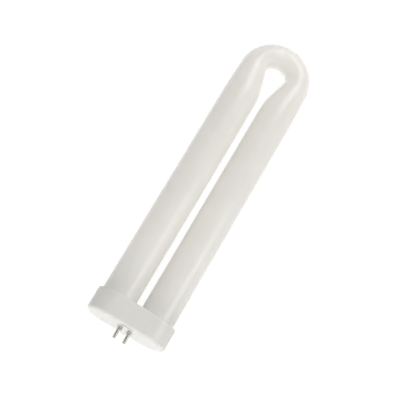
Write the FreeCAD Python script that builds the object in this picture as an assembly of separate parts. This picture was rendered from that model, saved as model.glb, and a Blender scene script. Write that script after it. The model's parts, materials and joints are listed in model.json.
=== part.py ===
# U-shaped fluorescent lamp: a coated glass tube bent double and cemented into a moulded base
# that carries four contact pins.
# The lamp lies on its side. X runs across the two legs, Y runs along the lamp from the pins to the
# bend, and Z is up. The origin is the centre of the four pins, at the face of their collars,
# where the lamp meets its holder. Sizes are in millimetres.

import FreeCAD
import Part
import math
import os

# Glass tube
TUBE_DIAMETER = 26.0       # straight legs
LEG_GAP = 4.4              # clear space between the legs
LAMP_HEIGHT = 246.3        # pin face of the base to the top of the bend
NECK_LENGTH = 36.0         # stretch over which each leg is drawn down to the bend
NECK_OVERRUN = 11.0        # how far that stretch runs on round the bend
BEND_DIAMETER = 18.3       # tube round the bend
BEND_INSET = 1.0           # outside of the bend, inside the line of the legs
NECK_RINGS = 5             # steps along each neck
NECK_DEGREE = 3            # of the smooth surface through them

# Moulded base
CAP_MARGIN = 2.45          # base outside, beyond the tubes
CAP_FLOOR = 6.0            # pin face to the seat of the tubes
SOCKET_DEPTH = 11.0        # length of tube held in the base
CEMENT_GAP = 0.3           # round each tube in its socket
BOTTOM_ROUND = 2.2         # edge round the pin face
RIM_CHAMFER = 0.8          # edge round the rim
RIB_HEIGHT = 1.1           # barrier between the pairs of pins, off the pin face
RIB_SETBACK = 1.6          # ends of the barrier, in from the sides of the base
RIB_CLEARANCE = 0.15       # from the barrier to the collars of the pins
RIB_ROUND = 0.4            # edges of the barrier
COLLAR_DIAMETER = 3.4      # moulded round each pin
COLLAR_HEIGHT = 1.2        # off the pin face

# Contact pins
PIN_DIAMETER = 2.35
PIN_LENGTH = 6.9           # beyond its collar
PIN_SPACING_X = 7.92
PIN_SPACING_Z = 6.35
PIN_ROOT_DIAMETER = 2.0    # held in the base
PIN_COVER = 1.5            # moulding left over the root of a pin
PIN_TIP_CHAMFER = 0.5

# Sizes that follow from the ones above
tube_radius = TUBE_DIAMETER / 2
leg_x = (TUBE_DIAMETER + LEG_GAP) / 2
leg_outer = leg_x + tube_radius
pin_face_y = COLLAR_HEIGHT
tube_seat_y = pin_face_y + CAP_FLOOR
rim_y = tube_seat_y + SOCKET_DEPTH
bend_outer = leg_outer - BEND_INSET
bend_centre_y = pin_face_y + LAMP_HEIGHT - bend_outer
bend_radius = bend_outer - BEND_DIAMETER / 2
neck_start = NECK_OVERRUN - NECK_LENGTH
cap_end_radius = tube_radius + CAP_MARGIN
socket_radius = tube_radius + CEMENT_GAP
rim_wall = CAP_MARGIN - CEMENT_GAP
pin_radius = PIN_DIAMETER / 2
pin_root_radius = PIN_ROOT_DIAMETER / 2
pin_root_y = tube_seat_y - PIN_COVER
collar_radius = COLLAR_DIAMETER / 2
rib_width = PIN_SPACING_X - COLLAR_DIAMETER - 2 * RIB_CLEARANCE
rib_length = 2 * (cap_end_radius - RIB_SETBACK)

ACROSS = FreeCAD.Vector(1, 0, 0)
ALONG = FreeCAD.Vector(0, 1, 0)
UP = FreeCAD.Vector(0, 0, 1)
ORIGIN = FreeCAD.Vector(0, 0, 0)


def smooth_share(value, start, length):
    """Share of a blend, from 0 to 1, that starts and ends without a kink."""
    t = min(max((value - start) / length, 0.0), 1.0)
    return t * t * (3.0 - 2.0 * t)


def neck_ring(travel):
    """Outline of the right leg's glass, short of the bend where travel is negative, then round it."""
    angle = max(travel, 0.0) / bend_radius
    necked = smooth_share(travel, neck_start, NECK_LENGTH)
    diameter = TUBE_DIAMETER + (BEND_DIAMETER - TUBE_DIAMETER) * necked
    centre_radius = leg_outer - BEND_INSET * necked - diameter / 2
    centre = FreeCAD.Vector(
        centre_radius * math.cos(angle),
        bend_centre_y + centre_radius * math.sin(angle) + min(travel, 0.0),
        0,
    )
    facing = FreeCAD.Rotation(UP, math.degrees(angle)).multiply(FreeCAD.Rotation(ACROSS, -90))
    ring = Part.makeCircle(diameter / 2)
    ring.Placement = FreeCAD.Placement(centre, facing)
    return Part.Wire([ring])


def glass_tube():
    """Sealed tube: two straight legs, drawn down at their necks into one bend."""
    foot = FreeCAD.Vector(leg_x, tube_seat_y, 0)
    leg_length = bend_centre_y + neck_start - tube_seat_y
    leg = Part.makeCylinder(tube_radius, leg_length, foot, ALONG)
    rings = [neck_ring(neck_start + NECK_LENGTH * i / NECK_RINGS) for i in range(NECK_RINGS + 1)]
    neck = Part.makeLoft(rings, True, False, False, NECK_DEGREE)
    bend_centre = FreeCAD.Vector(0, bend_centre_y, 0)
    bend_angle = 180 - 2 * math.degrees(NECK_OVERRUN / bend_radius)
    bend = Part.Face(rings[-1]).revolve(bend_centre, UP, bend_angle)
    other_side = [leg.mirror(ORIGIN, ACROSS), neck.mirror(ORIGIN, ACROSS)]
    return bend.fuse([leg, neck] + other_side).removeSplitter()


def cap_outline():
    """Outline of the pin face: two straight sides joined by round ends."""
    right_end = Part.Arc(
        FreeCAD.Vector(leg_x, pin_face_y, -cap_end_radius),
        FreeCAD.Vector(leg_x + cap_end_radius, pin_face_y, 0),
        FreeCAD.Vector(leg_x, pin_face_y, cap_end_radius),
    )
    left_end = Part.Arc(
        FreeCAD.Vector(-leg_x, pin_face_y, cap_end_radius),
        FreeCAD.Vector(-leg_x - cap_end_radius, pin_face_y, 0),
        FreeCAD.Vector(-leg_x, pin_face_y, -cap_end_radius),
    )
    top_side = Part.LineSegment(right_end.EndPoint, left_end.StartPoint)
    bottom_side = Part.LineSegment(left_end.EndPoint, right_end.StartPoint)
    return Part.Wire([edge.toShape() for edge in (right_end, top_side, left_end, bottom_side)])


def edges_at(solid, y):
    """Edges of a solid that lie flat at a place along the lamp."""
    return [e for e in solid.Edges if abs(e.BoundBox.YMin - y) + abs(e.BoundBox.YMax - y) < 1e-6]


def pin_places():
    """Name and centre of each pin, at the face of its collar."""
    places = {}
    for height_name, height in (("upper", 0.5), ("lower", -0.5)):
        for side_name, side in (("left", -0.5), ("right", 0.5)):
            centre = FreeCAD.Vector(side * PIN_SPACING_X, 0, height * PIN_SPACING_Z)
            places[f"contact_pin_{height_name}_{side_name}"] = centre
    return places


def barrier_rib():
    """Rounded bar that keeps the two pairs of pins apart, rooted in the floor of the base."""
    rib_face_y = pin_face_y - RIB_HEIGHT
    corner = FreeCAD.Vector(-rib_width / 2, rib_face_y, -rib_length / 2)
    bar = Part.makeBox(rib_width, RIB_HEIGHT + CAP_FLOOR / 2, rib_length, corner)
    return bar.makeFillet(min(RIB_ROUND, RIB_HEIGHT / 2, rib_width / 3), edges_at(bar, rib_face_y))


def pin_collar(centre):
    """Short round collar that a pin seats on, rooted in the floor of the base."""
    return Part.makeCylinder(collar_radius, COLLAR_HEIGHT + CAP_FLOOR / 2, centre, ALONG)


def base_cap():
    """Moulded base with two tube sockets, four pin holes with collars, and the barrier rib."""
    body = Part.Face(cap_outline()).extrude(ALONG * (CAP_FLOOR + SOCKET_DEPTH))
    body = body.makeFillet(min(BOTTOM_ROUND, CAP_FLOOR / 2), edges_at(body, pin_face_y))
    body = body.makeChamfer(min(RIM_CHAMFER, rim_wall * 0.8), edges_at(body, rim_y))
    body = body.fuse([barrier_rib()] + [pin_collar(centre) for centre in pin_places().values()])
    cutters = []
    for side in (-1, 1):
        seat = FreeCAD.Vector(side * leg_x, tube_seat_y, 0)
        cutters.append(Part.makeCylinder(socket_radius, SOCKET_DEPTH, seat, ALONG))
    for centre in pin_places().values():
        cutters.append(Part.makeCylinder(pin_root_radius, pin_root_y, centre, ALONG))
    return body.cut(cutters).removeSplitter()


def contact_pin(centre):
    """One turned pin: a root held in the base, and a shank that seats on its collar."""
    corners = [
        FreeCAD.Vector(0, pin_root_y, 0),
        FreeCAD.Vector(pin_root_radius, pin_root_y, 0),
        FreeCAD.Vector(pin_root_radius, 0, 0),
        FreeCAD.Vector(pin_radius, 0, 0),
        FreeCAD.Vector(pin_radius, PIN_TIP_CHAMFER - PIN_LENGTH, 0),
        FreeCAD.Vector(pin_radius - PIN_TIP_CHAMFER, -PIN_LENGTH, 0),
        FreeCAD.Vector(0, -PIN_LENGTH, 0),
    ]
    profile = Part.makePolygon(corners + corners[:1])
    pin = Part.Face(profile).revolve(ORIGIN, ALONG, 360)
    pin.translate(centre)
    return pin


def main():
    """Builds every piece and writes one file for each."""
    pieces = {"glass_tube": glass_tube(), "base_cap": base_cap()}
    for name, centre in pin_places().items():
        pieces[name] = contact_pin(centre)
    os.makedirs("parts", exist_ok=True)
    for name, shape in pieces.items():
        shape.exportStep(f"parts/{name}.step")
        box = shape.optimalBoundingBox()
        size = f"{box.XLength:.2f} x {box.YLength:.2f} x {box.ZLength:.2f} mm"
        print(f"{name}: {len(shape.Solids)} solid, valid {shape.isValid()}, {size}")


main()
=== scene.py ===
"""U-shaped fluorescent lamp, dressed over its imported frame.

Lengths are in metres. X runs across the two legs, Y along the lamp from the pins to the bend, and
Z is up.
"""

import json
import logging
import math
from collections.abc import Callable, Iterator
from contextlib import contextmanager
from dataclasses import dataclass
from enum import Enum

import bmesh
import bpy
from mathutils import Matrix, Vector


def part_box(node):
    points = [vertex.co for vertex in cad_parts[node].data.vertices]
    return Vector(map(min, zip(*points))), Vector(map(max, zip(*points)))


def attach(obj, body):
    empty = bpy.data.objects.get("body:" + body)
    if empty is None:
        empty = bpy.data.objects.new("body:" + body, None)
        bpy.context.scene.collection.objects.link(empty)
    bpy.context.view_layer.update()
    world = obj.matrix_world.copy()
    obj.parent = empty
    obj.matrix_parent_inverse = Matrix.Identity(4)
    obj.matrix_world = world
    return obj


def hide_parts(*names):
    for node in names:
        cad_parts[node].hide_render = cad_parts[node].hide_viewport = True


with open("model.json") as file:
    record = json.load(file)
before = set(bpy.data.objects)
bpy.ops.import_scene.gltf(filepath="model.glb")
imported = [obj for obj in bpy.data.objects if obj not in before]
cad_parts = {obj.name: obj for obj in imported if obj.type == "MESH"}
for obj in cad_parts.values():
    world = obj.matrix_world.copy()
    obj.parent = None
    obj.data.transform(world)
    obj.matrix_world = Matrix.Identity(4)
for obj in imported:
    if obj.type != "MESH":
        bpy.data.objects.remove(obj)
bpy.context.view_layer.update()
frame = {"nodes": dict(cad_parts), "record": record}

log = logging.getLogger("lamp")

# A colour, a place, or a share along each axis
Triple = tuple[float, float, float]

MERGE_DISTANCE = 1e-6
ROUND_PROFILE = 0.5
CLEAR_IOR = 1.5
WHITE = (1.0, 1.0, 1.0, 1.0)


# Modelling helpers

class Pick(Enum):
    """Kind of mesh element that a selection picks."""

    VERTS = "VERT"
    EDGES = "EDGE"


class CutKind(Enum):
    """What a cutter does to the piece it is set against."""

    REMOVE = "DIFFERENCE"
    JOIN = "UNION"


def take_up(piece: bpy.types.Object) -> None:
    """Selects one piece alone and makes it the active one."""
    bpy.ops.object.select_all(action="DESELECT")
    piece.select_set(True)
    bpy.context.view_layer.objects.active = piece


@contextmanager
def editing(piece: bpy.types.Object) -> Iterator[None]:
    """Opens one piece in edit mode with nothing selected, and closes it again.

    Args:
        piece: The mesh object to edit.

    Returns:
        A context that lasts as long as the piece is open.
    """
    take_up(piece)
    bpy.ops.object.mode_set(mode="EDIT")
    bpy.ops.mesh.select_all(action="DESELECT")
    yield
    bpy.ops.object.mode_set(mode="OBJECT")


def pick(piece: bpy.types.Object, kind: Pick, wanted: Callable[[Vector], bool]) -> None:
    """Selects the elements of an open piece whose corners all lie where they are wanted.

    Args:
        piece: The mesh object, in edit mode.
        kind: The elements to select.
        wanted: Test of a corner's place.
    """
    bpy.ops.mesh.select_mode(type=kind.value)
    bpy.ops.mesh.select_all(action="DESELECT")
    mesh = bmesh.from_edit_mesh(piece.data)
    for element in mesh.verts if kind is Pick.VERTS else mesh.edges:
        corners = [element] if kind is Pick.VERTS else element.verts
        if all(wanted(corner.co) for corner in corners):
            element.select_set(True)
    bmesh.update_edit_mesh(piece.data)


def ring_primitive(name: str, radius: float, centre: Vector, sides: int) -> bpy.types.Object:
    """Starts a piece as a bare ring that faces along the lamp.

    Args:
        name: Name of the piece.
        radius: Radius of the ring.
        centre: Centre of the ring.
        sides: Number of corners of the ring.

    Returns:
        The new object, with its place in its mesh.
    """
    bpy.ops.object.select_all(action="DESELECT")
    bpy.ops.mesh.primitive_circle_add(
        vertices=sides, radius=radius, location=centre, rotation=(math.pi / 2, 0, 0)
    )
    piece = bpy.context.object
    piece.name = piece.data.name = name
    bpy.ops.object.transform_apply(location=True, rotation=True, scale=True)
    return piece


def pull_ring(step: Vector) -> None:
    """Extrudes the selected ring or face by a step."""
    bpy.ops.mesh.extrude_region_move(TRANSFORM_OT_translate={"value": step})


def size_ring(ratio: float, centre: Vector) -> None:
    """Scales the selected ring about its centre."""
    bpy.ops.transform.resize(value=(ratio, ratio, ratio), center_override=centre)


def round_off(radius: float, steps: int) -> None:
    """Rounds the selected edges."""
    bpy.ops.mesh.bevel(offset=radius, segments=steps, profile=ROUND_PROFILE, affect="EDGES")


def turn_ring(angle: float, centre: Vector) -> None:
    """Turns the selected ring to the left about an upright line through its centre."""
    bpy.ops.transform.rotate(value=-angle, orient_axis="Z", center_override=centre)


def apply_modifier(piece: bpy.types.Object, kind: str, **values: object) -> None:
    """Adds a modifier to a piece and applies it at once.

    Args:
        piece: The mesh object.
        kind: Blender's name of the modifier's type.
        values: Settings of the modifier.
    """
    take_up(piece)
    modifier = piece.modifiers.new(kind.title(), kind)
    for key, value in values.items():
        setattr(modifier, key, value)
    bpy.ops.object.modifier_apply(modifier=modifier.name)


def work_in(piece: bpy.types.Object, tool: bpy.types.Object, kind: CutKind) -> None:
    """Cuts a tool's shape out of a piece, or joins it on, and puts the tool away.

    Args:
        piece: The mesh object to change.
        tool: The closed mesh to work in, which is deleted.
        kind: Whether the tool's shape is removed or joined.
    """
    apply_modifier(piece, "BOOLEAN", object=tool, operation=kind.value, solver="EXACT")
    bpy.data.objects.remove(tool)


def close_up(piece: bpy.types.Object) -> None:
    """Merges doubled corners and turns every face of a piece outwards."""
    with editing(piece):
        bpy.ops.mesh.select_all(action="SELECT")
        bpy.ops.mesh.remove_doubles(threshold=MERGE_DISTANCE)
        bpy.ops.mesh.normals_make_consistent(inside=False)


def soften(piece: bpy.types.Object, angle_deg: float) -> None:
    """Shades a piece smooth, apart from edges sharper than an angle."""
    take_up(piece)
    bpy.ops.object.shade_smooth_by_angle(angle=math.radians(angle_deg))


def smooth_share(value: float, start: float, length: float) -> float:
    """Share of a blend, from 0 to 1, that starts and ends without a kink.

    Args:
        value: Where the blend is read.
        start: Where the blend starts.
        length: How long the blend is.

    Returns:
        The share at that place.
    """
    t = min(max((value - start) / length, 0.0), 1.0)
    return t * t * (3.0 - 2.0 * t)


# Finishes

@dataclass(frozen=True)
class Clouds:
    """Cloudy pattern: clouds in a metre, finer layers, and its scale along each axis."""

    scale: float
    detail: float
    stretch: Triple = (1, 1, 1)


@dataclass(frozen=True)
class Relief:
    """Bump of a pattern: how strongly it tells, and its real depth."""

    strength: float
    depth: float


class NodeSheet:
    """Node tree of one material, with short calls that add and join its nodes."""

    # Range of a cloudy pattern that is used
    FAINT, STRONG = 0.3, 0.7
    # Places of a mix node's colour sockets
    FIRST_COLOUR, SECOND_COLOUR, MIXED_COLOUR = 6, 7, 2

    def __init__(self, name: str) -> None:
        """Starts a material that has only its output node."""
        self.material = bpy.data.materials.new(name)
        self.material.use_nodes = True
        self.tree = self.material.node_tree
        self.tree.nodes.clear()
        self.output = self.add("ShaderNodeOutputMaterial")

    def add(self, kind: str, **sockets: object) -> bpy.types.Node:
        """Adds a node and fills its sockets.

        Args:
            kind: Blender's name of the node's type.
            sockets: Values or source sockets by the socket's name, with _ for a space.

        Returns:
            The new node.
        """
        node = self.tree.nodes.new(kind)
        for key, value in sockets.items():
            self.fill(node.inputs[key.replace("_", " ")], value)
        return node

    def fill(self, socket: bpy.types.NodeSocket, value: object) -> None:
        """Sets a socket to a constant, or joins it to another node's output."""
        if isinstance(value, bpy.types.NodeSocket):
            self.tree.links.new(value, socket)
        else:
            socket.default_value = value

    def place(self, stretch: Triple = (1, 1, 1)) -> bpy.types.NodeSocket:
        """Object coordinates, stretched along each axis."""
        coordinates = self.add("ShaderNodeTexCoord")
        mapping = self.add("ShaderNodeMapping", Vector=coordinates.outputs["Object"], Scale=stretch)
        return mapping.outputs["Vector"]

    def noise(self, clouds: Clouds) -> bpy.types.NodeSocket:
        """Cloudy pattern fixed to the piece.

        Args:
            clouds: Size and layers of the pattern.

        Returns:
            The pattern, from 0 to 1.
        """
        node = self.add(
            "ShaderNodeTexNoise",
            Vector=self.place(clouds.stretch),
            Scale=clouds.scale,
            Detail=clouds.detail,
        )
        return node.outputs["Fac"]

    def beyond(
        self, pattern: bpy.types.NodeSocket, start: float, end: float
    ) -> bpy.types.NodeSocket:
        """Keeps a pattern to the far end of the lamp, and fades it out short of there.

        Args:
            pattern: The pattern to keep.
            start: Place along the lamp where it starts to show.
            end: Place along the lamp from where it is whole.

        Returns:
            The faded pattern.
        """
        parts = self.add("ShaderNodeSeparateXYZ", Vector=self.place())
        fade = self.add(
            "ShaderNodeMapRange", Value=parts.outputs["Y"], From_Min=start, From_Max=end
        )
        both = self.add("ShaderNodeMath")
        both.operation = "MULTIPLY"
        self.fill(both.inputs[0], pattern)
        self.fill(both.inputs[1], fade.outputs["Result"])
        return both.outputs["Value"]

    def spread(
        self, pattern: bpy.types.NodeSocket, low: float, high: float
    ) -> bpy.types.NodeSocket:
        """Maps the middle of a pattern's range to a range of values.

        Args:
            pattern: The pattern to map.
            low: Value where the pattern is faint.
            high: Value where the pattern is strong.

        Returns:
            The mapped value.
        """
        node = self.add(
            "ShaderNodeMapRange",
            Value=pattern,
            From_Min=self.FAINT,
            From_Max=self.STRONG,
            To_Min=low,
            To_Max=high,
        )
        return node.outputs["Result"]

    def tones(
        self, pattern: bpy.types.NodeSocket, dark: Triple, light: Triple
    ) -> bpy.types.NodeSocket:
        """Colour that runs from one tone to another with a pattern.

        Args:
            pattern: The pattern to follow.
            dark: Tone where the pattern is faint.
            light: Tone where the pattern is strong.

        Returns:
            The colour.
        """
        node = self.add("ShaderNodeMix")
        node.data_type = "RGBA"
        self.fill(node.inputs["Factor"], self.spread(pattern, 0.0, 1.0))
        self.fill(node.inputs[self.FIRST_COLOUR], (*dark, 1.0))
        self.fill(node.inputs[self.SECOND_COLOUR], (*light, 1.0))
        return node.outputs[self.MIXED_COLOUR]

    def relief(
        self,
        height: bpy.types.NodeSocket,
        bump: Relief,
        under: bpy.types.NodeSocket | None = None,
    ) -> bpy.types.NodeSocket:
        """Bump from a pattern.

        Args:
            height: The pattern.
            bump: Strength and depth of the pattern.
            under: Bump that it lies on, if any.

        Returns:
            The bumped normal.
        """
        node = self.add(
            "ShaderNodeBump", Strength=bump.strength, Distance=bump.depth, Height=height
        )
        if under is not None:
            self.fill(node.inputs["Normal"], under)
        return node.outputs["Normal"]

    def sum(self, first: bpy.types.Node, second: bpy.types.Node) -> bpy.types.Node:
        """Adds two shaders together.

        Args:
            first: One shader.
            second: The other shader.

        Returns:
            The node that adds them.
        """
        both = self.add("ShaderNodeAddShader")
        self.fill(both.inputs[0], first.outputs[0])
        self.fill(both.inputs[1], second.outputs[0])
        return both

    def surface(self, shader: bpy.types.Node) -> bpy.types.Material:
        """Puts a shader on the output.

        Args:
            shader: The last node of the surface.

        Returns:
            The finished material.
        """
        self.fill(self.output.inputs["Surface"], shader.outputs[0])
        return self.material


@dataclass(frozen=True)
class CoatedGlass:
    """Clear gloss glass over a thin powder coating on its inside, which lets some light through."""

    slot: str = "coated_glass"
    dark: Triple = (0.475, 0.467, 0.448)
    light: Triple = (0.495, 0.487, 0.467)
    through: Triple = (0.340, 0.334, 0.320)
    mottle: Clouds = Clouds(48, 4)
    powder: Clouds = Clouds(2400, 2)
    powder_relief: Relief = Relief(0.05, 0.00003)
    powder_roughness: float = 0.7
    waves: Clouds = Clouds(60, 1, (1, 0.3, 1))
    wave_relief: Relief = Relief(0.12, 0.0004)
    dents: Clouds = Clouds(130, 1)
    dent_relief: Relief = Relief(0.7, 0.002)
    gloss_blur: float = 0.17
    worked_start: float = 0.200
    worked_end: float = 0.225

    def material(self) -> bpy.types.Material:
        """Material with a mottled coating, powder grain, and waves where the glass was worked."""
        sheet = NodeSheet(self.slot)
        waves = sheet.relief(sheet.noise(self.waves), self.wave_relief)
        dents = sheet.beyond(sheet.noise(self.dents), self.worked_start, self.worked_end)
        worked = sheet.relief(dents, self.dent_relief, waves)
        front = sheet.add(
            "ShaderNodeBsdfPrincipled",
            Base_Color=sheet.tones(sheet.noise(self.mottle), self.dark, self.light),
            Roughness=self.powder_roughness,
            Specular_IOR_Level=0.0,
            Coat_Weight=1.0,
            Coat_Roughness=self.gloss_blur,
            Coat_IOR=CLEAR_IOR,
            Normal=sheet.relief(sheet.noise(self.powder), self.powder_relief),
            Coat_Normal=worked,
        )
        behind = sheet.add("ShaderNodeBsdfTranslucent", Color=(*self.through, 1.0))
        return sheet.surface(sheet.sum(front, behind))


@dataclass(frozen=True)
class MouldedBase:
    """Satin moulded plastic with a fine even texture."""

    slot: str = "moulded_base"
    dark: Triple = (0.612, 0.600, 0.570)
    light: Triple = (0.630, 0.618, 0.587)
    mottle: Clouds = Clouds(120, 4)
    satin: Clouds = Clouds(90, 2)
    smoothest: float = 0.20
    roughest: float = 0.25
    grain: Clouds = Clouds(1700, 2)
    grain_relief: Relief = Relief(0.01, 0.00004)

    def material(self) -> bpy.types.Material:
        """Material with a fine moulded grain and an uneven satin."""
        sheet = NodeSheet(self.slot)
        satin = sheet.spread(sheet.noise(self.satin), self.smoothest, self.roughest)
        grain = sheet.relief(sheet.noise(self.grain), self.grain_relief)
        return sheet.surface(
            sheet.add(
                "ShaderNodeBsdfPrincipled",
                Base_Color=sheet.tones(sheet.noise(self.mottle), self.dark, self.light),
                Roughness=satin,
                IOR=CLEAR_IOR,
                Normal=grain,
            )
        )


@dataclass(frozen=True)
class PinMetal:
    """Dull plated metal with turning marks."""

    slot: str = "pin_metal"
    dark: Triple = (0.50, 0.48, 0.41)
    light: Triple = (0.64, 0.62, 0.55)
    tarnish: Clouds = Clouds(700, 3)
    polish: Clouds = Clouds(1300, 2)
    smoothest: float = 0.18
    roughest: float = 0.28
    rings: Clouds = Clouds(900, 2, (0.05, 4, 0.05))
    ring_relief: Relief = Relief(0.15, 0.00003)

    def material(self) -> bpy.types.Material:
        """Material with tarnish, an uneven polish and fine rings left by turning."""
        sheet = NodeSheet(self.slot)
        rings = sheet.relief(sheet.noise(self.rings), self.ring_relief)
        return sheet.surface(
            sheet.add(
                "ShaderNodeBsdfPrincipled",
                Base_Color=sheet.tones(sheet.noise(self.tarnish), self.dark, self.light),
                Metallic=1.0,
                Roughness=sheet.spread(sheet.noise(self.polish), self.smoothest, self.roughest),
                Normal=rings,
            )
        )


def dress(
    piece: bpy.types.Object, material: bpy.types.Material, slot: str, node: str
) -> None:
    """Gives a piece its material and sets it in the frame in place of a CAD node.

    Args:
        piece: The finished mesh object.
        material: Its material.
        slot: The record's slot that the material belongs to.
        node: The CAD node that the piece stands for.
    """
    piece.data.materials.clear()
    piece.data.materials.append(material)
    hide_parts(node)
    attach(piece, "root")
    log.info("%s: %d faces, %s", piece.name, len(piece.data.polygons), slot)


# Pieces of the lamp

@dataclass
class GlassTube:
    """Sealed tube: two straight legs, drawn down at their necks into one bend."""

    tube_radius: float
    leg_x: float
    foot_y: float
    top_y: float
    neck_length: float = 0.0360
    neck_overrun: float = 0.0110
    bend_diameter: float = 0.0183
    bend_inset: float = 0.0010
    sides: int = 96
    leg_rings: int = 20
    neck_rings: int = 24
    bend_rings: int = 24
    foot_margin: float = 0.00001
    smooth_deg: float = 40

    @classmethod
    def from_frame(cls) -> "GlassTube":
        """Tube with the reach of the CAD node."""
        low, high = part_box("glass_tube")
        radius = (high.z - low.z) / 2
        return cls(radius, high.x - radius, low.y, high.y)

    def __post_init__(self) -> None:
        """Works out the bend from the tube's reach."""
        self.leg_outer = self.leg_x + self.tube_radius
        self.bend_outer = self.leg_outer - self.bend_inset
        self.bend_centre = Vector((0, self.top_y - self.bend_outer, 0))
        self.bend_radius = self.bend_outer - self.bend_diameter / 2
        self.neck_start = self.neck_overrun - self.neck_length
        self.neck_angle = self.neck_overrun / self.bend_radius

    def neck_ring(self, travel: float) -> tuple[Vector, float, float]:
        """Ring of the right leg, short of the bend where travel is negative, then round it.

        Args:
            travel: Distance along the bend.

        Returns:
            The ring's centre, radius and angle round the bend.
        """
        angle = max(travel, 0.0) / self.bend_radius
        necked = smooth_share(travel, self.neck_start, self.neck_length)
        radius = self.tube_radius + (self.bend_diameter / 2 - self.tube_radius) * necked
        reach = self.leg_outer - self.bend_inset * necked - radius
        turned = Vector((math.cos(angle) * reach, math.sin(angle) * reach + min(travel, 0.0), 0))
        return self.bend_centre + turned, radius, angle

    def build(self) -> bpy.types.Object:
        """Draws one leg from its foot to the middle of the bend, and mirrors it.

        Returns:
            The closed tube.
        """
        foot = Vector((self.leg_x, self.foot_y, 0))
        tube = ring_primitive("lamp_tube", self.tube_radius, foot, self.sides)
        with editing(tube):
            bpy.ops.mesh.select_all(action="SELECT")
            self.draw_leg(foot)
            self.draw_neck()
            bpy.ops.mesh.spin(
                steps=self.bend_rings,
                angle=self.neck_angle - math.pi / 2,
                center=self.bend_centre,
                axis=(0, 0, 1),
            )
        apply_modifier(tube, "MIRROR", use_mirror_merge=True, merge_threshold=MERGE_DISTANCE)
        self.close_feet(tube)
        close_up(tube)
        soften(tube, self.smooth_deg)
        return tube

    def draw_leg(self, foot: Vector) -> None:
        """Pulls the straight leg up from its foot."""
        top, _, _ = self.neck_ring(self.neck_start)
        for _ in range(self.leg_rings):
            pull_ring((top - foot) / self.leg_rings)

    def draw_neck(self) -> None:
        """Pulls the neck on from the leg, narrowing and turning it ring by ring."""
        centre, radius, angle = self.neck_ring(self.neck_start)
        for step in range(1, self.neck_rings + 1):
            travel = self.neck_start + self.neck_length * step / self.neck_rings
            next_centre, next_radius, next_angle = self.neck_ring(travel)
            pull_ring(next_centre - centre)
            size_ring(next_radius / radius, next_centre)
            turn_ring(next_angle - angle, next_centre)
            centre, radius, angle = next_centre, next_radius, next_angle

    def close_feet(self, tube: bpy.types.Object) -> None:
        """Closes the two tube ends that stand in the base."""
        end_y = self.foot_y + self.foot_margin
        for side in (-1, 1):
            with editing(tube):
                pick(tube, Pick.EDGES, lambda p: p.x * side > 0 and p.y < end_y)
                bpy.ops.mesh.edge_face_add()

    def dress(self, tube: bpy.types.Object) -> None:
        """Gives the tube its coated glass."""
        finish = CoatedGlass()
        dress(tube, finish.material(), finish.slot, "glass_tube")


@dataclass
class ContactPin:
    """Turned pin: a root held in the base, and a shank with a rounded tip."""

    shank_radius: float
    root_y: float
    seat_y: float
    tip_y: float
    root_radius: float = 0.0010
    tip_round: float = 0.0005
    tip_steps: int = 5
    sides: int = 40
    smooth_deg: float = 38

    @classmethod
    def from_frame(cls, node: str) -> "ContactPin":
        """Pin with the reach of its CAD node, seated at the record's pin mount."""
        low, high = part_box(node)
        mount = next(m for m in frame["record"]["mounts"] if m["name"] == "pin_contacts")
        return cls((high.x - low.x) / 2, high.y, mount["pos_m"][1], low.y)

    def outline(self) -> list[tuple[float, float]]:
        """Radius and place of each ring, from the root to the tip.

        Returns:
            The rings in order.
        """
        rings = [
            (self.root_radius, self.root_y),
            (self.root_radius, self.seat_y),
            (self.shank_radius, self.seat_y),
        ]
        for step in range(self.tip_steps + 1):
            angle = math.pi / 2 * step / self.tip_steps
            out, back = math.cos(angle), 1 - math.sin(angle)
            radius = self.shank_radius - self.tip_round * (1 - out)
            rings.append((radius, self.tip_y + self.tip_round * back))
        return rings

    def build(self, node: str) -> bpy.types.Object:
        """Turns the pin up ring by ring, in the place of one CAD node.

        Args:
            node: The CAD node whose place the pin takes.

        Returns:
            The closed pin.
        """
        low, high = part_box(node)
        middle = (low + high) / 2
        radius, y = self.outline()[0]
        centre = Vector((middle.x, y, middle.z))
        pin = ring_primitive(f"{node}_turned", radius, centre, self.sides)
        with editing(pin):
            bpy.ops.mesh.select_all(action="SELECT")
            bpy.ops.mesh.edge_face_add()
            for next_radius, next_y in self.outline()[1:]:
                next_centre = Vector((middle.x, next_y, middle.z))
                pull_ring(next_centre - centre)
                size_ring(next_radius / radius, next_centre)
                centre, radius = next_centre, next_radius
        close_up(pin)
        soften(pin, self.smooth_deg)
        return pin

    def copy_to(self, pin: bpy.types.Object, source: str, node: str) -> bpy.types.Object:
        """Copies the pin to another CAD node's place, with a mesh of its own.

        Args:
            pin: The pin that was turned.
            source: The CAD node whose place it has.
            node: The CAD node whose place the copy takes.

        Returns:
            The copy.
        """
        copy = bpy.data.objects.new(f"{node}_turned", pin.data.copy())
        bpy.context.scene.collection.objects.link(copy)
        copy.data.transform(Matrix.Translation(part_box(node)[0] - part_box(source)[0]))
        copy.data.name = copy.name
        return copy


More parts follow.
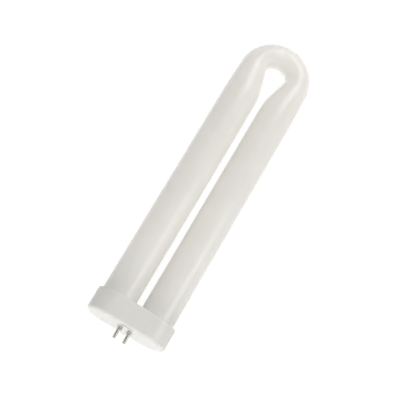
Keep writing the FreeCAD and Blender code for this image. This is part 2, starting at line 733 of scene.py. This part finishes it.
@dataclass
class BaseCap:
    """Moulded oval base with two tube sockets, four pin holes with collars, and a barrier rib."""

    leg_x: float
    end_radius: float
    rim_y: float
    collar_y: float
    seat_y: float
    tube_radius: float
    pin_radius: float
    pin_roots: list[Vector]
    cement_gap: float = 0.0003
    bottom_round: float = 0.0022
    rim_round: float = 0.0008
    rib_height: float = 0.0011
    rib_setback: float = 0.0016
    rib_width: float = 0.00422
    rib_round: float = 0.0004
    collar_radius: float = 0.0017
    collar_height: float = 0.0012
    root_depth: float = 0.0010
    cut_past: float = 0.0100
    sides: int = 128
    socket_sides: int = 96
    collar_sides: int = 40
    bottom_steps: int = 8
    edge_steps: int = 4
    smooth_deg: float = 32

    @classmethod
    def from_frame(cls, tube: GlassTube, pin: ContactPin, nodes: list[str]) -> "BaseCap":
        """Base with the reach of its CAD node, round the tube and the pins."""
        low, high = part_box("base_cap")
        roots = []
        for node in nodes:
            pin_low, pin_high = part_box(node)
            middle = (pin_low + pin_high) / 2
            roots.append(Vector((middle.x, pin.root_y, middle.z)))
        leg_x = high.x - high.z
        return cls(
            leg_x, high.z, high.y, low.y, tube.foot_y, tube.tube_radius, pin.root_radius, roots
        )

    @property
    def face_y(self) -> float:
        """Place of the pin face along the lamp."""
        return self.collar_y + self.collar_height

    @property
    def rib_face_y(self) -> float:
        """Place of the barrier's face along the lamp."""
        return self.face_y - self.rib_height

    def build(self) -> bpy.types.Object:
        """Moulds the base as one closed shell.

        Returns:
            The finished base.
        """
        cap = self.block()
        self.round_edges(cap)
        work_in(cap, self.rib(), CutKind.JOIN)
        for side in (-1, 1):
            seat = Vector((side * self.leg_x, self.seat_y, 0))
            socket_radius = self.tube_radius + self.cement_gap
            past_rim = self.rim_y + self.cut_past
            socket = self.plug(socket_radius, seat, past_rim, self.socket_sides)
            work_in(cap, socket, CutKind.REMOVE)
        for root in self.pin_roots:
            held = Vector((root.x, self.face_y + self.root_depth, root.z))
            collar = self.plug(self.collar_radius, held, self.collar_y, self.collar_sides)
            work_in(cap, collar, CutKind.JOIN)
            past_collar = self.collar_y - self.cut_past
            hole = self.plug(self.pin_radius, root, past_collar, self.collar_sides)
            work_in(cap, hole, CutKind.REMOVE)
        close_up(cap)
        soften(cap, self.smooth_deg)
        apply_modifier(cap, "WEIGHTED_NORMAL", keep_sharp=True)
        return cap

    def block(self) -> bpy.types.Object:
        """Oval block: two half rings, joined along the sides and pulled up to the rim.

        Returns:
            The plain block.
        """
        centre = Vector((self.leg_x, self.face_y, 0))
        cap = ring_primitive("moulded_cap", self.end_radius, centre, self.sides)
        with editing(cap):
            pick(cap, Pick.VERTS, lambda p: p.x < self.leg_x - MERGE_DISTANCE)
            bpy.ops.mesh.delete(type="VERT")
        apply_modifier(cap, "MIRROR", use_mirror_merge=False)
        ends_z = self.end_radius - MERGE_DISTANCE
        for side in (-1, 1):
            with editing(cap):
                pick(cap, Pick.VERTS, lambda p: p.z * side > ends_z)
                bpy.ops.mesh.edge_face_add()
        with editing(cap):
            bpy.ops.mesh.select_all(action="SELECT")
            bpy.ops.mesh.edge_face_add()
            pull_ring(Vector((0, self.rim_y - self.face_y, 0)))
        close_up(cap)
        return cap

    def round_edges(self, cap: bpy.types.Object) -> None:
        """Rounds the edge of the pin face and the edge of the rim."""
        for y, radius, steps in (
            (self.face_y, self.bottom_round, self.bottom_steps),
            (self.rim_y, self.rim_round, self.edge_steps),
        ):
            with editing(cap):
                pick(cap, Pick.EDGES, lambda p: abs(p.y - y) < MERGE_DISTANCE)
                round_off(radius, steps)

    def rib(self) -> bpy.types.Object:
        """Rounded bar that keeps the two pairs of pins apart, rooted in the base.

        Returns:
            The bar, to be joined to the base.
        """
        length = 2 * (self.end_radius - self.rib_setback)
        depth = self.rib_height + self.root_depth
        bpy.ops.object.select_all(action="DESELECT")
        bpy.ops.mesh.primitive_cube_add(
            size=1,
            location=(0, self.rib_face_y + depth / 2, 0),
            scale=(self.rib_width, depth, length),
        )
        bar = bpy.context.object
        bpy.ops.object.transform_apply(location=True, rotation=True, scale=True)
        with editing(bar):
            pick(bar, Pick.EDGES, lambda p: p.y < self.rib_face_y + MERGE_DISTANCE)
            round_off(self.rib_round, self.edge_steps)
        return bar

    def plug(self, radius: float, end: Vector, far_y: float, sides: int) -> bpy.types.Object:
        """Round plug that leaves a hole in the base, or stands on it as a collar.

        Args:
            radius: Radius of the plug.
            end: Centre of the plug's end inside the base.
            far_y: Place along the lamp that the plug runs out to.
            sides: Number of sides.

        Returns:
            The closed plug.
        """
        plug = ring_primitive("plug", radius, end, sides)
        with editing(plug):
            bpy.ops.mesh.select_all(action="SELECT")
            bpy.ops.mesh.edge_face_add()
            pull_ring(Vector((0, far_y - end.y, 0)))
        close_up(plug)
        return plug

    def dress(self, cap: bpy.types.Object) -> None:
        """Gives the base its moulded plastic."""
        finish = MouldedBase()
        dress(cap, finish.material(), finish.slot, "base_cap")


# Stage

@dataclass(frozen=True)
class SoftLight:
    """Soft rectangular light that faces a point of the lamp.

    Its size is across and along the lamp, and a brightness of 1 is white.
    """

    name: str
    faces: Triple
    towards: Triple
    distance: float
    size: tuple[float, float]
    brightness: float
    in_gloss: bool = False

    def hang(self) -> None:
        """Hangs the light in its place, turned to the point that it faces."""
        data = bpy.data.lights.new(self.name, "AREA")
        data.shape = "RECTANGLE"
        data.size, data.size_y = self.size
        data.energy = self.brightness * math.pi * self.size[0] * self.size[1]
        light = bpy.data.objects.new(self.name, data)
        light.visible_camera = False
        light.visible_glossy = self.in_gloss
        bpy.context.scene.collection.objects.link(light)
        back = Vector(self.towards).normalized()
        across = Vector((0, 1, 0)).cross(back).normalized()
        # A light straight along the lamp has X across it
        if not across.length:
            across = Vector((1, 0, 0))
        axes = Matrix((across, back.cross(across), back)).transposed()
        place = Vector(self.faces) + back * self.distance
        light.matrix_world = Matrix.Translation(place) @ axes.to_4x4()


# Points that the lights face: the last is on the inner side of the bend
BASE = (0, 0.02, 0)
MIDDLE = (0, 0.12, 0)
BEND = (0, 0.23, 0)
ARCH = (0, 0.2295, 0.001)

# Two lights show in the gloss, and the fills lift what those two leave in shade
LIGHTS = (
    SoftLight("side_strip", BASE, (0.62, 0.18, 0.61), 0.9, (0.48, 0.36), 2.0, in_gloss=True),
    SoftLight("bend_panel", BEND, (0.14, 0.66, 0.74), 0.9, (0.60, 0.62), 2.5, in_gloss=True),
    SoftLight("right_fill", MIDDLE, (0.8, 0, 0.7), 0.9, (0.5, 1.2), 1.75),
    SoftLight("left_fill", MIDDLE, (-0.85, 0, 0.5), 0.9, (0.5, 1.2), 1.4),
    SoftLight("front_fill", BASE, (0, -0.99, 0.11), 0.9, (0.9, 0.16), 15.0),
    SoftLight("base_fill", BASE, (0.05, 0, 1), 0.22, (0.2, 0.12), 2.0),
    SoftLight("bend_fill", BEND, (0, 0.5, 0.86), 0.16, (0.14, 0.1), 1.6),
    SoftLight("arch_fill", ARCH, (0, -1, 0), 0.010, (0.012, 0.008), 1.15),
)


@dataclass
class Stage:
    """White floor, white surroundings and soft lights."""

    low_z: float
    rim_y: float
    leg_low_z: float
    leg_end_y: float
    ambient: float = 0.13
    overhead: float = 0.35
    dim_start: float = 0.25
    dim_end: float = 0.80
    floor_albedo: float = 0.88
    floor_glow: float = 0.93
    floor_shade: float = 0.12
    floor_size: float = 8.0

    def build(self) -> None:
        """Lays the floor, sets the surroundings and hangs the lights."""
        self.floor()
        self.surroundings()
        for light in LIGHTS:
            light.hang()

    def seen_directly(self, tree: bpy.types.NodeTree) -> bpy.types.NodeSocket:
        """Share that is 1 for what the camera sees, also in gloss and through glass.

        Args:
            tree: The node tree to add to.

        Returns:
            The share.
        """
        path = tree.nodes.new("ShaderNodeLightPath")
        total = path.outputs["Is Camera Ray"]
        for name in ("Is Glossy Ray", "Is Transmission Ray"):
            add = tree.nodes.new("ShaderNodeMath")
            add.operation = "MAXIMUM"
            tree.links.new(total, add.inputs[0])
            tree.links.new(path.outputs[name], add.inputs[1])
            total = add.outputs[0]
        return total

    def floor(self) -> None:
        """White floor under the base's side and the legs, which keeps the lamp's shadow."""
        slope = math.atan2(self.leg_low_z - self.low_z, self.leg_end_y - self.rim_y)
        bpy.ops.object.select_all(action="DESELECT")
        bpy.ops.mesh.primitive_plane_add(
            size=self.floor_size, location=(0, self.rim_y, self.low_z), rotation=(slope, 0, 0)
        )
        floor = bpy.context.object
        floor.name = "floor"
        sheet = NodeSheet("floor")
        plain = sheet.add("ShaderNodeBsdfDiffuse", Color=(*[self.floor_albedo] * 3, 1))
        glow = sheet.add("ShaderNodeEmission", Strength=self.floor_glow)
        shade = sheet.add("ShaderNodeBsdfDiffuse", Color=(*[self.floor_shade] * 3, 1))
        seen = sheet.sum(glow, shade)
        mix = sheet.add("ShaderNodeMixShader", Fac=self.seen_directly(sheet.tree))
        sheet.fill(mix.inputs[1], plain.outputs[0])
        sheet.fill(mix.inputs[2], seen.outputs[0])
        floor.data.materials.append(sheet.surface(mix))

    def surroundings(self) -> None:
        """White surroundings that dim overhead, and an even light from all sides."""
        world = bpy.data.worlds.new("surroundings")
        world.use_nodes = True
        tree = world.node_tree
        tree.nodes.clear()
        output = tree.nodes.new("ShaderNodeOutputWorld")
        even = tree.nodes.new("ShaderNodeBackground")
        even.inputs["Strength"].default_value = self.ambient
        seen = tree.nodes.new("ShaderNodeBackground")
        tree.links.new(self.sky(tree), seen.inputs["Strength"])
        mix = tree.nodes.new("ShaderNodeMixShader")
        tree.links.new(self.seen_directly(tree), mix.inputs[0])
        for index, background in ((1, even), (2, seen)):
            background.inputs["Color"].default_value = WHITE
            tree.links.new(background.outputs[0], mix.inputs[index])
        tree.links.new(mix.outputs[0], output.inputs["Surface"])
        bpy.context.scene.world = world

    def sky(self, tree: bpy.types.NodeTree) -> bpy.types.NodeSocket:
        """Brightness that falls from white at the sides to the dim space overhead.

        Args:
            tree: The node tree to add to.

        Returns:
            The brightness.
        """
        direction = tree.nodes.new("ShaderNodeTexCoord")
        parts = tree.nodes.new("ShaderNodeSeparateXYZ")
        tree.links.new(direction.outputs["Object"], parts.inputs[0])
        fall = tree.nodes.new("ShaderNodeMapRange")
        fall.interpolation_type = "SMOOTHSTEP"
        for key, value in (
            ("From Min", self.dim_start),
            ("From Max", self.dim_end),
            ("To Min", 1.0),
            ("To Max", self.overhead),
        ):
            fall.inputs[key].default_value = value
        tree.links.new(parts.outputs["Z"], fall.inputs["Value"])
        return fall.outputs["Result"]


@dataclass
class ViewCamera:
    """Camera that looks down on the lying lamp from the pin side, rolled."""

    aim: Triple = (-0.00117, 0.1099, 0)
    distance: float = 0.895
    tilt_deg: float = 17.9
    roll_deg: float = 30.73
    lens: float = 112.5
    sensor: float = 36.0

    def build(self) -> None:
        """Sets the camera up and makes it the scene's."""
        data = bpy.data.cameras.new("view")
        data.lens, data.sensor_width = self.lens, self.sensor
        camera = bpy.data.objects.new("view", data)
        bpy.context.scene.collection.objects.link(camera)
        tilt, roll = math.radians(self.tilt_deg), math.radians(self.roll_deg)
        back = Vector((0, -math.sin(tilt), math.cos(tilt)))
        along = Vector((0, math.cos(tilt), math.sin(tilt)))
        across = along.cross(back)
        right = along * math.sin(roll) + across * math.cos(roll)
        up = along * math.cos(roll) - across * math.sin(roll)
        axes = Matrix((right, up, back)).transposed().to_4x4()
        place = Vector(self.aim) + back * self.distance
        camera.matrix_world = Matrix.Translation(place) @ axes
        bpy.context.scene.camera = camera


def main() -> None:
    """Builds the lamp piece by piece, then its stage and camera."""
    logging.basicConfig(level=logging.INFO, format="%(message)s")
    tube = GlassTube.from_frame()
    tube.dress(tube.build())
    pin_nodes = sorted(node for node in frame["nodes"] if node.startswith("contact_pin"))
    plating = PinMetal()
    metal = plating.material()
    first = pin_nodes[0]
    pin = ContactPin.from_frame(first)
    turned = pin.build(first)
    for node in pin_nodes[1:]:
        dress(pin.copy_to(turned, first, node), metal, plating.slot, node)
    dress(turned, metal, plating.slot, first)
    cap = BaseCap.from_frame(tube, pin, pin_nodes)
    cap.dress(cap.build())
    stage = Stage(
        low_z=-cap.end_radius,
        rim_y=cap.rim_y - cap.rim_round,
        leg_low_z=-tube.tube_radius,
        leg_end_y=tube.bend_centre.y + tube.neck_start,
    )
    stage.build()
    ViewCamera().build()
    bpy.context.scene.view_settings.view_transform = "Standard"


if __name__ == "__main__":
    main()
